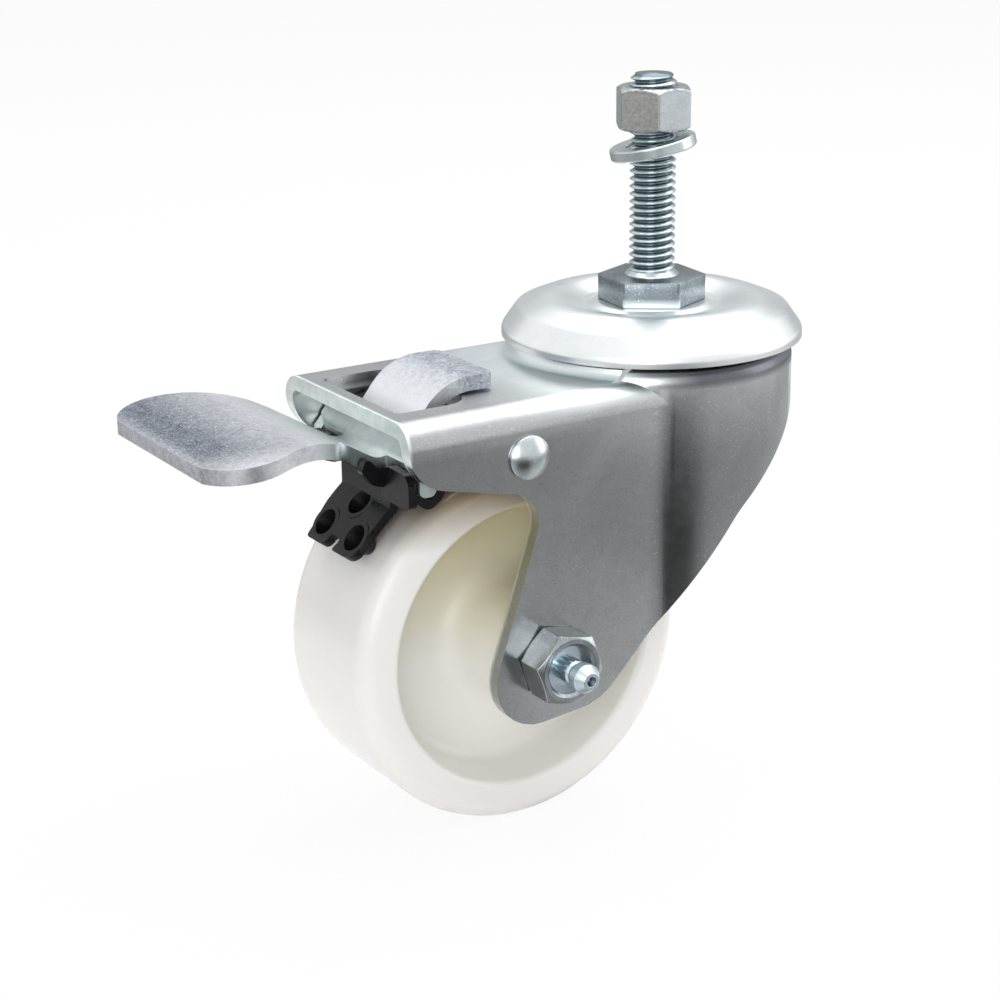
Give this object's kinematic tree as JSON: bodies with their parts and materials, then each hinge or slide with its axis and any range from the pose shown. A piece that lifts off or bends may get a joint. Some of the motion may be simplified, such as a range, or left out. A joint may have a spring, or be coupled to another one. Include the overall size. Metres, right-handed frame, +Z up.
{
  "type": "threaded stem castor",
  "caption": "Swivel castor on a threaded stem, with a hard white wheel in a sheet steel fork and a foot lever that brakes the wheel and locks the swivel.",
  "frame": {"origin": "on the swivel axis, at the seat on top of the stem's hexagon", "axes": "+Z up the stem, -X from the swivel axis over the wheel to the foot lever, -Y towards the grease fitting"},
  "size_m": [0.1445, 0.0706, 0.1483],
  "materials": {
    "zinc_sheet": "bright zinc plate on pressed sheet",
    "zinc_lever": "zinc plate with a fine sparkle",
    "zinc_turned": "bright zinc plate on turned steel",
    "ball_steel": "polished",
    "bush_steel": "ground",
    "white_nylon": "semi-gloss moulded",
    "black_coat": "semi-gloss black"
  },
  "bodies": {
    "stem": {"stem": "zinc_turned", "top_race": "zinc_sheet", "lower_race": "zinc_sheet", "lock_ring": "zinc_sheet"},
    "fork": {"fork": "zinc_sheet", "upper_balls": "ball_steel", "lower_balls": "ball_steel", "spanner_bush": "bush_steel", "axle_bolt": "zinc_turned", "axle_nut": "zinc_turned", "grease_fitting": "zinc_turned", "fitting_ball": "ball_steel", "lever_rivet": "zinc_turned"},
    "wheel": {"wheel": "white_nylon"},
    "brake": {"brake_lever": "zinc_lever", "brake_leaf": "black_coat"},
    "lock_washer": {"lock_washer": "zinc_turned"},
    "stem_nut": {"stem_nut": "zinc_turned"}
  },
  "joints": [
    {"name": "swivel", "type": "hinge", "parent": "stem", "child": "fork", "pos_m": [0, 0, 0], "axis": [0, 0, 1], "continuous": true},
    {"name": "wheel_spin", "type": "hinge", "parent": "fork", "child": "wheel", "pos_m": [-0.0419, 0, -0.0687], "axis": [0, 1, 0], "continuous": true},
    {"name": "brake_lever", "type": "hinge", "parent": "fork", "child": "brake", "pos_m": [-0.047, 0, -0.0256], "axis": [0, 1, 0], "range_deg": [0, 10]},
    {"name": "nut_travel", "type": "slide", "parent": "stem", "child": "lock_washer", "axis": [0, 0, 1], "range_m": [-0.02223, 0.04445]},
    {"name": "nut_turn", "type": "hinge", "parent": "lock_washer", "child": "stem_nut", "pos_m": [0, 0, 0.034], "axis": [0, 0, 1], "range_deg": [-5040, 10080]}
  ],
  "couplings": [
    {"joint": "nut_travel", "follows": "nut_turn", "m_per_rad": 0.00025266}
  ]
}
